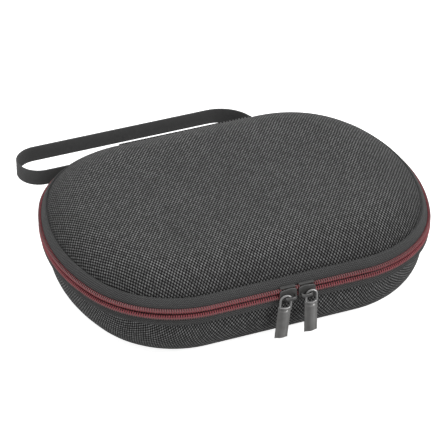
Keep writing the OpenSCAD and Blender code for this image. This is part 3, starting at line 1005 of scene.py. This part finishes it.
def loop_path():
    """Points along the loop in plan, from its root round the tip and back to the root."""
    root_x = (low("strap_anchor")[0] + high("strap_anchor")[0]) / 2
    root_y = HALF_DEPTH + 0.6
    outer_y = high("wrist_strap")[1] - WEBBING / 2
    inner_y = outer_y - LOOP_GAP
    tip_r = LOOP_GAP / 2
    tip_x = low("wrist_strap")[0] + WEBBING / 2 + tip_r
    inner_x, outer_x = root_x - 0.56, root_x + 0.56
    inner_r, outer_r = 3.0, 22.0
    points = [(inner_x, y) for y in np.linspace(root_y, inner_y - inner_r, 4)[:-1]]
    points += curve(inner_x - inner_r, inner_y - inner_r, inner_r, 0, 90, 8)
    points += [(x, inner_y) for x in np.linspace(inner_x - inner_r, tip_x, 40)[1:-1]]
    points += curve(tip_x, inner_y + tip_r, tip_r, 270, 90, 24)
    points += [(x, outer_y) for x in np.linspace(tip_x, outer_x - outer_r, 36)[1:-1]]
    points += curve(outer_x - outer_r, outer_y - outer_r, outer_r, 90, 0, 18)
    points += [(outer_x, y) for y in np.linspace(outer_y - outer_r, root_y, 8)[1:]]
    return np.array(points)


def webbing_section():
    """The ribbed section, as (place across the webbing from -1 to 1, distance from its middle)."""
    ring = []
    for t in np.linspace(-1, 1, 8 * RIBS + 1):
        edge = math.sqrt(max(0.0, 1 - max(0.0, (abs(t) - 0.93) / 0.07) ** 2))
        rib = abs(math.sin(math.pi * RIBS * (t + 1) / 2))
        ring.append((t, edge * (0.44 + 0.06 * rib)))
    return ring + [(t, -r) for t, r in reversed(ring[1:-1])]


def wrist_loop():
    points = loop_path()
    bottom, top = low("wrist_strap")[2], high("wrist_strap")[2]
    half_width, middle = (top - bottom) / 2, (top + bottom) / 2
    ahead = np.gradient(points, axis=0)
    ahead /= np.linalg.norm(ahead, axis=1)[:, None]
    side = np.stack([-ahead[:, 1], ahead[:, 0]], 1)
    run = np.r_[0, np.cumsum(np.linalg.norm(np.diff(points, axis=0), axis=1))]
    ring = webbing_section()
    vertices, uv = [], []
    for p, n, s in zip(points, side, run):
        for t, r in ring:
            vertices.append((p[0] + r * n[0], p[1] + r * n[1], middle + t * half_width))
            uv.append((s, t * half_width))
    faces = grid_faces(len(points), len(ring), False, True) + end_caps(len(vertices), len(ring))
    piece = make("wrist_loop_webbing", vertices, faces, STRAP, uv)
    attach(piece, "wrist_loop")
    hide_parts("wrist_strap")


def anchor():
    """The folded tab that the loop is sewn to."""
    a, b = low("strap_anchor"), high("strap_anchor")
    parts = Parts()
    outline = rounded([(a[0], a[2]), (a[0], b[2]), (b[0], b[2]), (b[0], a[2])], 0.7)
    add_plate(parts, outline, a[1], b[1] - a[1], 0.35)
    piece = parts.build("strap_anchor_tab", ANCHOR, "webbing")
    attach(piece, "base")
    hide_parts("strap_anchor")


# ---------------------------------------------------------------- lid pocket

NET_PITCH = 3.4  # across a mesh opening


def pocket_limit(y, z, spare):
    """Half the lid's inner width, less spare, at a place y and a height z above the zip."""
    inset = LID.skin_at(LAMINATE, z) + spare
    if abs(y) > HALF_DEPTH - inset:
        return 0.0
    if abs(y) <= CORNER_Y * (END_R - inset) / (END_R - CORNER_R):
        end = END_X + math.sqrt((END_R - inset) ** 2 - y**2)
        if math.atan2(abs(y), end - END_X) <= SEAM:
            return end
    return STRAIGHT + math.sqrt(max(0.0, (CORNER_R - inset) ** 2 - (abs(y) - CORNER_Y) ** 2))


def net_point(i, j, z, front, back):
    """A knot of the net in row i and column j, or None outside the pocket."""
    y = min(back, front + i * NET_PITCH / 2)
    x = (j + (i % 2) / 2) * NET_PITCH - HALF_LENGTH
    limit = pocket_limit(y, z, 0.5)
    if abs(x) > limit + NET_PITCH:
        return None
    x = max(-limit, min(limit, x))
    sag = 2.4 * (1 - (x / limit) ** 2) * math.sin(math.pi * (y - front) / (back - front))
    return x * MM, y * MM, (ZIP_Z + z - sag) * MM


def net_mesh(z, front, back):
    """The net as one four-sided face per mesh opening."""
    rows = int(2 * (back - front) / NET_PITCH) + 2
    columns = int(2 * HALF_LENGTH / NET_PITCH) + 2
    bm = bmesh.new()
    knots = {}
    for i in range(rows):
        for j in range(-1, columns + 1):
            point = net_point(i, j, z, front, back)
            if point is not None:
                knots[i, j] = bm.verts.new(point)
    for i in range(rows - 2):
        for j in range(columns):
            odd = i % 2
            corners = [(i, j), (i + 1, j + odd), (i + 2, j), (i + 1, j + odd - 1)]
            if all(corner in knots for corner in corners):
                bm.faces.new([knots[corner] for corner in corners])
    bmesh.ops.delete(bm, geom=[v for v in bm.verts if not v.link_faces], context="VERTS")
    mesh = bpy.data.meshes.new("pocket_netting")
    bm.to_mesh(mesh)
    bm.free()
    return mesh


def pocket():
    """A net across the back half of the lid, hemmed to the lining, with elastic along its open edge."""
    z = low("pocket_net")[2] - ZIP_Z
    front, back = low("pocket_net")[1], high("pocket_net")[1]
    piece = bpy.data.objects.new("pocket_netting", net_mesh(z, front, back))
    bpy.context.scene.collection.objects.link(piece)
    cords = piece.modifiers.new("cords", "WIREFRAME")
    cords.thickness = 0.5 * MM
    cords.use_boundary = True
    bpy.context.view_layer.update()
    done = bpy.data.meshes.new_from_object(piece.evaluated_get(bpy.context.evaluated_depsgraph_get()))
    piece.modifiers.clear()
    piece.data = done
    done.materials.clear()
    done.materials.append(NET)
    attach(piece, "lid")
    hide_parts("pocket_net")
    net_hem(z, front)
    elastic_edge()


def net_hem(z, front):
    """The corded hem that sews the net to the lining, round the sides and the back."""
    points, normals, _ = stations(2.6)
    edge = points - (LID.skin_at(LAMINATE, z) + 0.7) * normals
    edge = np.roll(edge, -(len(edge) // 2), axis=0)
    path = [(x, y, ZIP_Z + z) for x, y in edge if y >= front]
    parts = Parts()
    parts.add(*tube(path, 0.85, 0.7, (0, 0, 1), 10))
    piece = parts.build("pocket_net_hem", NET, "net")
    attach(piece, "lid")


def elastic_edge():
    """The pocket's gathered elastic, across the lid."""
    a, b = low("pocket_elastic_edge"), high("pocket_elastic_edge")
    half_width, middle, z = (b[1] - a[1]) / 2, (a[1] + b[1]) / 2, (a[2] + b[2]) / 2
    limit = pocket_limit(a[1], z - ZIP_Z, 0.4)
    ring = [(t, 0.42 + 0.06 * math.cos(t * 22)) for t in np.linspace(-1, 1, 29)]
    ring += [(t, -r) for t, r in reversed(ring)]
    xs = np.linspace(-limit, limit, 181)
    vertices, uv = [], []
    for x in xs:
        gather = 0.22 * math.sin(x * 2 * math.pi / 4.6)
        sag = 1.6 * (1 - (x / limit) ** 2)
        for t, r in ring:
            vertices.append((x, middle + t * half_width, z + r + gather * abs(t) - sag))
            uv.append((x, t * half_width))
    faces = grid_faces(len(xs), len(ring), False, True) + end_caps(len(vertices), len(ring))
    piece = make("pocket_elastic_band", vertices, faces, ELASTIC, uv)
    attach(piece, "lid")
    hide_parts("pocket_elastic_edge")


# ---------------------------------------------------------------- stage


def stage_floor():
    """A white floor, whose light on the case is that of a mid grey one."""
    corners = [(-6, -6, 0), (6, -6, 0), (6, 6, 0), (-6, 6, 0)]
    mesh = bpy.data.meshes.new("floor")
    mesh.from_pydata(corners, [], [(0, 1, 2, 3)])
    floor = bpy.data.objects.new("floor", mesh)
    bpy.context.scene.collection.objects.link(floor)
    g = Graph("pale_floor")
    seen = g.nodes.new("ShaderNodeLightPath").outputs["Is Camera Ray"]
    g.finish(g.mix(seen, grey(0.5), grey(0.9)), 0.9, Specular_IOR_Level=0.1)
    g.put(g.shader.inputs["Emission Color"], grey(1.0))
    g.put(g.shader.inputs["Emission Strength"], g.ramp(seen, 0.0, 1.0, 0.0, 0.85))
    mesh.materials.append(g.material)
    floor.location.z = -0.0005


def softbox(name, place_at, size, power, only=()):
    """A round area light aimed at the case. only limits it to some pieces, as a flag on a stand does."""
    light = bpy.data.lights.new(name, "AREA")
    light.shape = "DISK"
    light.size = size
    light.energy = power
    lamp = bpy.data.objects.new(name, light)
    lamp.location = place_at
    lamp.rotation_euler = (Vector((0, 0, 0.03)) - Vector(place_at)).to_track_quat("-Z", "Y").to_euler()
    bpy.context.scene.collection.objects.link(lamp)
    if only:
        lit = bpy.data.collections.new(name + "_lit")
        for piece in only:
            lit.objects.link(piece)
        lamp.light_linking.receiver_collection = lit


def lights():
    world = bpy.data.worlds.new("studio")
    world.use_nodes = True
    world.node_tree.nodes["Background"].inputs["Color"].default_value = (1, 1, 1, 1)
    world.node_tree.nodes["Background"].inputs["Strength"].default_value = 0.5
    bpy.context.scene.world = world
    softbox("key", (0.9, -1.0, 1.0), 0.6, 11.8)
    softbox("top", (-0.4, 0.3, 1.8), 1.2, 11)
    softbox("low_left", (-0.8, -0.25, 0.06), 0.2, 1.5)
    pulls = [o for o in bpy.data.objects if o.name in ("pull_left_tab", "pull_right_tab")]
    softbox("edge", (0.5, -0.3, 0.12), 0.15, 2.7, pulls)


def camera():
    """The camera, looking down on the case from its front left."""
    azimuth, elevation, roll = math.radians(-21.54), math.radians(34.17), math.radians(-0.24)
    distance = 1.36
    level = math.cos(elevation)
    back = Vector((math.sin(azimuth) * level, -math.cos(azimuth) * level, math.sin(elevation)))
    data = bpy.data.cameras.new("camera")
    data.sensor_width = 36
    data.lens = 202.5
    data.shift_x, data.shift_y = -0.0225, -0.0253
    data.clip_start, data.clip_end = 0.05, 50
    obj = bpy.data.objects.new("camera", data)
    obj.location = Vector((0, 0, ZIP_Z * MM)) + back * distance
    turn = (-back).to_track_quat("-Z", "Y").to_matrix().to_4x4() @ Matrix.Rotation(roll, 4, "Z")
    obj.rotation_euler = turn.to_euler()
    bpy.context.scene.collection.objects.link(obj)
    bpy.context.scene.camera = obj


# ---------------------------------------------------------------- the scene

LID = Half("lid", 1, (6.0, 41.0), 1.7, 6.4)
BASE = Half("base", -1, (21.0, 21.0), 0.0, 17.5)
moulded_halves()
zip_chain()
bindings()
hinge()
sliders()
wrist_loop()
anchor()
pocket()
stage_floor()
lights()
camera()
bpy.context.scene.view_settings.view_transform = "Standard"
